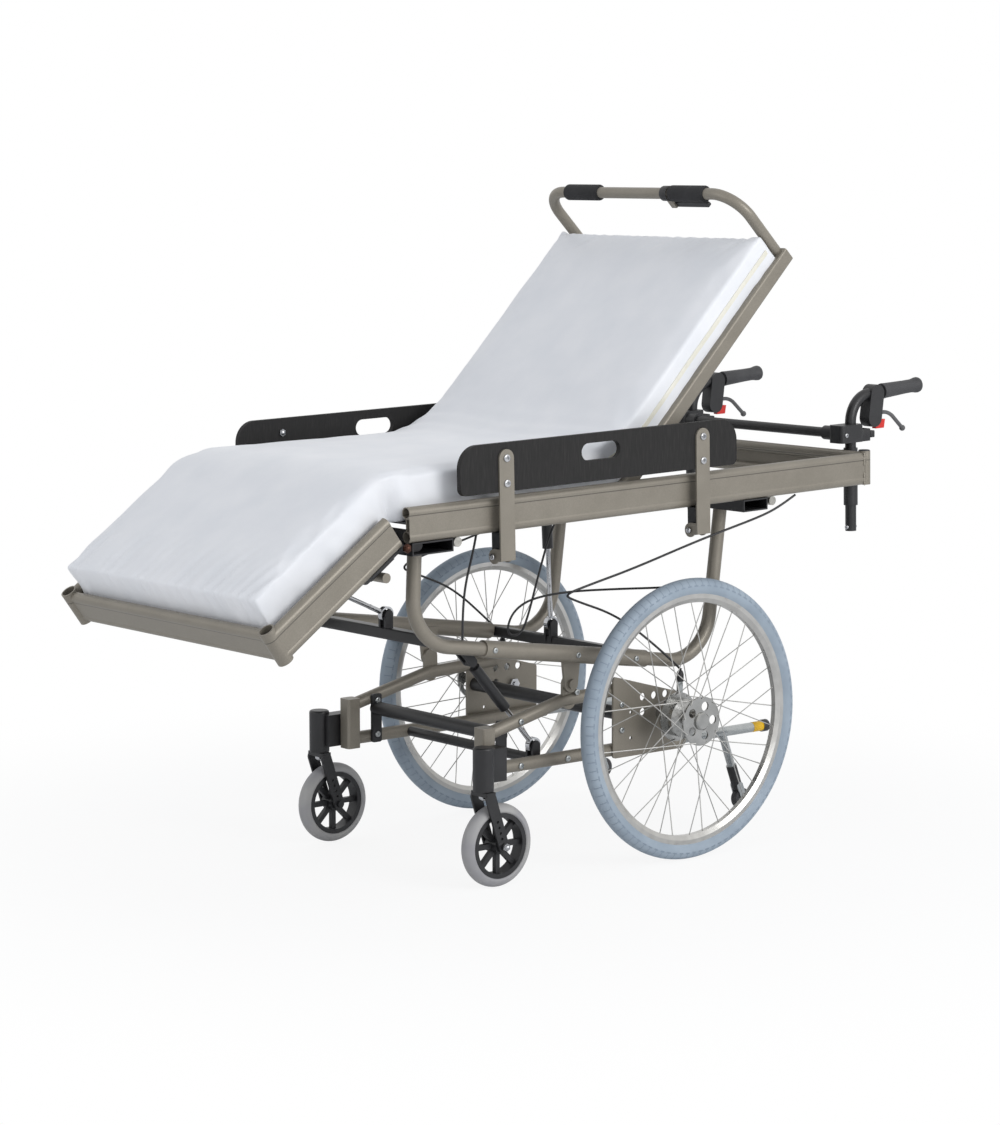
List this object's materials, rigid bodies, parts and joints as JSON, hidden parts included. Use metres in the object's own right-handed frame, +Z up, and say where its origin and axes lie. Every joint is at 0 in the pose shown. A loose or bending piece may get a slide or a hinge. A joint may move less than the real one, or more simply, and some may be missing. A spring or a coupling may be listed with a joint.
{
  "type": "reclining wheelchair",
  "caption": "Reclining wheelchair with a tilting bed frame, raising back and leg sections, swing-down side guards, push handles, spoked drive wheels and swivel casters",
  "frame": {"origin": "on the floor, under the middle of the overall box", "axes": "+X from the foot end to the push handles, +Y to the occupant's right-hand wheel, +Z up"},
  "size_m": [1.927, 0.784, 1.4417],
  "materials": {
    "frame_paint": "satin champagne grey paint",
    "black_paint": "satin black paint",
    "bare_aluminium": "drawn, satin",
    "zinc": "zinc plated",
    "polished_steel": "polished",
    "rim_metal": "anodised silver",
    "hub_metal": "cast and polished",
    "tyre_rubber": "matt blue grey",
    "caster_rubber": "matt light grey",
    "black_plastic": "matt moulded",
    "grip_rubber": "ribbed, matt",
    "grip_foam": "fine foam",
    "cover_fabric": "white coated cloth",
    "deck_board": "matt board",
    "guard_laminate": "fine-grain dark laminate",
    "grey_plastic": "moulded",
    "red_plastic": "moulded, glossy"
  },
  "bodies": {
    "chassis": {"side_frames": "frame_paint", "caster_housings": "black_paint", "axle_plates": "frame_paint", "cross_tubes": "black_paint", "axles": "polished_steel", "brake_plates": "zinc"},
    "seat_frame": {"side_rails": "frame_paint", "rear_rail": "frame_paint", "cross_bars": "bare_aluminium", "carrier_tubes": "frame_paint", "carrier_sleeves": "frame_paint", "frame_brackets": "black_paint", "seat_deck": "deck_board", "seat_mattress": "cover_fabric", "brake_cables": "black_plastic", "release_cables": "black_plastic"},
    "backrest": {"back_frame": "frame_paint", "back_deck": "deck_board", "back_mattress": "cover_fabric", "push_bar": "frame_paint", "foam_grips": "grip_foam"},
    "release_lever": {"release_lever": "frame_paint"},
    "leg_section": {"leg_frame": "frame_paint", "knee_hinges": "black_paint", "leg_deck": "deck_board", "leg_mattress": "cover_fabric"},
    "push_handles": {"handle_tubes": "black_paint", "handle_grips": "grip_rubber", "handle_clamps": "black_plastic"},
    "left_wheel": {"left_tyre": "tyre_rubber", "left_rim": "rim_metal", "left_hub": "hub_metal"},
    "left_fork": {"left_caster_fork": "black_paint"},
    "left_caster": {"left_caster_core": "black_plastic", "left_caster_tyre": "caster_rubber"},
    "left_anti_tipper": {"left_anti_tipper": "zinc"},
    "left_roller": {"left_tipper_roller": "caster_rubber"},
    "left_guard": {"left_guard_board": "guard_laminate", "left_guard_arms": "frame_paint"},
    "left_brake_lever": {"left_brake_lever": "grey_plastic"},
    "left_lock_trigger": {"left_lock_trigger": "red_plastic"},
    "right_wheel": {"right_tyre": "tyre_rubber", "right_rim": "rim_metal", "right_hub": "hub_metal"},
    "right_fork": {"right_caster_fork": "black_paint"},
    "right_caster": {"right_caster_core": "black_plastic", "right_caster_tyre": "caster_rubber"},
    "right_anti_tipper": {"right_anti_tipper": "zinc"},
    "right_roller": {"right_tipper_roller": "caster_rubber"},
    "right_guard": {"right_guard_board": "guard_laminate", "right_guard_arms": "frame_paint"},
    "right_brake_lever": {"right_brake_lever": "grey_plastic"},
    "right_lock_trigger": {"right_lock_trigger": "red_plastic"},
    "tilt_cylinder": {"tilt_cylinder": "black_paint"},
    "tilt_rod": {"tilt_rod": "polished_steel"},
    "back_cylinder": {"back_cylinder": "black_paint"},
    "back_rod": {"back_rod": "polished_steel"},
    "leg_cylinder": {"leg_cylinder": "black_paint"},
    "leg_rod": {"leg_rod": "polished_steel"}
  },
  "joints": [
    {"name": "left_wheel_spin", "type": "hinge", "parent": "chassis", "child": "left_wheel", "pos_m": [0.1706, -0.345, 0.305], "axis": [0, 1, 0], "continuous": true},
    {"name": "left_fork_swivel", "type": "hinge", "parent": "chassis", "child": "left_fork", "pos_m": [-0.3524, -0.284, 0.25], "axis": [0, 0, 1], "continuous": true},
    {"name": "left_caster_spin", "type": "hinge", "parent": "left_fork", "child": "left_caster", "pos_m": [-0.3184, -0.284, 0.088], "axis": [0, 1, 0], "continuous": true},
    {"name": "left_tipper_swing", "type": "hinge", "parent": "chassis", "child": "left_anti_tipper", "pos_m": [0.3706, -0.232, 0.236], "axis": [1, 0, 0], "range_deg": [0, 170]},
    {"name": "left_roller_spin", "type": "hinge", "parent": "left_anti_tipper", "child": "left_roller", "pos_m": [0.43581, -0.232, 0.07916], "axis": [0, 1, 0], "continuous": true},
    {"name": "left_guard_swing", "type": "hinge", "parent": "seat_frame", "child": "left_guard", "pos_m": [-0.10749, -0.368, 0.71124], "axis": [0.9997, 0, 0.0244], "range_deg": [0, 150]},
    {"name": "left_lever_pull", "type": "hinge", "parent": "push_handles", "child": "left_brake_lever", "pos_m": [0.81959, -0.261, 0.92395], "axis": [0, -1, 0], "range_deg": [0, 12], "stiffness_Nm_per_rad": 0.8},
    {"name": "left_trigger_press", "type": "slide", "parent": "push_handles", "child": "left_lock_trigger", "axis": [-0.9997, 0, -0.0244], "range_m": [0, 0.006], "stiffness_N_per_m": 400},
    {"name": "right_wheel_spin", "type": "hinge", "parent": "chassis", "child": "right_wheel", "pos_m": [0.1706, 0.345, 0.305], "axis": [0, 1, 0], "continuous": true},
    {"name": "right_fork_swivel", "type": "hinge", "parent": "chassis", "child": "right_fork", "pos_m": [-0.3524, 0.284, 0.25], "axis": [0, 0, 1], "continuous": true},
    {"name": "right_caster_spin", "type": "hinge", "parent": "right_fork", "child": "right_caster", "pos_m": [-0.3184, 0.284, 0.088], "axis": [0, 1, 0], "continuous": true},
    {"name": "right_tipper_swing", "type": "hinge", "parent": "chassis", "child": "right_anti_tipper", "pos_m": [0.3706, 0.232, 0.236], "axis": [-1, 0, 0], "range_deg": [0, 170]},
    {"name": "right_roller_spin", "type": "hinge", "parent": "right_anti_tipper", "child": "right_roller", "pos_m": [0.43581, 0.232, 0.07916], "axis": [0, 1, 0], "continuous": true},
    {"name": "right_guard_swing", "type": "hinge", "parent": "seat_frame", "child": "right_guard", "pos_m": [-0.10749, 0.368, 0.71124], "axis": [-0.9997, 0, -0.0244], "range_deg": [0, 150]},
    {"name": "right_lever_pull", "type": "hinge", "parent": "push_handles", "child": "right_brake_lever", "pos_m": [0.81959, 0.261, 0.92395], "axis": [0, -1, 0], "range_deg": [0, 12], "stiffness_Nm_per_rad": 0.8},
    {"name": "right_trigger_press", "type": "slide", "parent": "push_handles", "child": "right_lock_trigger", "axis": [-0.9997, 0, -0.0244], "range_m": [0, 0.006], "stiffness_N_per_m": 400},
    {"name": "tilt", "type": "hinge", "parent": "chassis", "child": "seat_frame", "pos_m": [-0.0794, 0, 0.395], "axis": [0, 1, 0], "range_deg": [-10, 8]},
    {"name": "back_recline", "type": "hinge", "parent": "seat_frame", "child": "backrest", "pos_m": [0.01802, 0, 0.81434], "axis": [0, -1, 0], "range_deg": [-44, 12]},
    {"name": "lever_squeeze", "type": "hinge", "parent": "backrest", "child": "release_lever", "pos_m": [0.34243, -0.104, 1.40126], "axis": [-0.7009, 0, -0.7133], "range_deg": [0, 4], "stiffness_Nm_per_rad": 0.8},
    {"name": "leg_raise", "type": "hinge", "parent": "seat_frame", "child": "leg_section", "pos_m": [-0.61632, 0, 0.73882], "axis": [0, 1, 0], "range_deg": [-18, 36]},
    {"name": "handle_height", "type": "slide", "parent": "seat_frame", "child": "push_handles", "axis": [-0.0244, 0, 0.9997], "range_m": [0, 0.11]},
    {"name": "tilt_spring_turn", "type": "hinge", "parent": "seat_frame", "child": "tilt_cylinder", "pos_m": [-0.3194, -0.2, 0.462], "axis": [0, 1, 0], "range_deg": [-2.05, 2.44]},
    {"name": "tilt_spring_stroke", "type": "slide", "parent": "tilt_cylinder", "child": "tilt_rod", "axis": [0.6596, 0, -0.7516], "range_m": [-0.0249, 0.0201]},
    {"name": "back_spring_turn", "type": "hinge", "parent": "backrest", "child": "back_cylinder", "pos_m": [0.10471, 0.06, 0.84833], "axis": [0, 1, 0], "range_deg": [-44.02, 12.37]},
    {"name": "back_spring_stroke", "type": "slide", "parent": "back_cylinder", "child": "back_rod", "axis": [0.0552, 0, -0.9985], "range_m": [-0.0699, 0.0198]},
    {"name": "leg_spring_turn", "type": "hinge", "parent": "leg_section", "child": "leg_cylinder", "pos_m": [-0.63939, 0, 0.66095], "axis": [0, 1, 0], "range_deg": [-36.31, 18.41]},
    {"name": "leg_spring_stroke", "type": "slide", "parent": "leg_cylinder", "child": "leg_rod", "axis": [0.911, 0, -0.4123], "range_m": [-0.0256, 0.0501]}
  ],
  "couplings": [
    {"joint": "tilt_spring_turn", "follows": "tilt", "ratio": -0.1942},
    {"joint": "tilt_spring_stroke", "follows": "tilt", "m_per_rad": 0.13683},
    {"joint": "back_spring_turn", "follows": "back_recline", "ratio": 0.9892},
    {"joint": "back_spring_stroke", "follows": "back_recline", "m_per_rad": 0.08967},
    {"joint": "leg_spring_turn", "follows": "leg_raise", "ratio": -0.9948},
    {"joint": "leg_spring_stroke", "follows": "leg_raise", "m_per_rad": 0.0782}
  ]
}
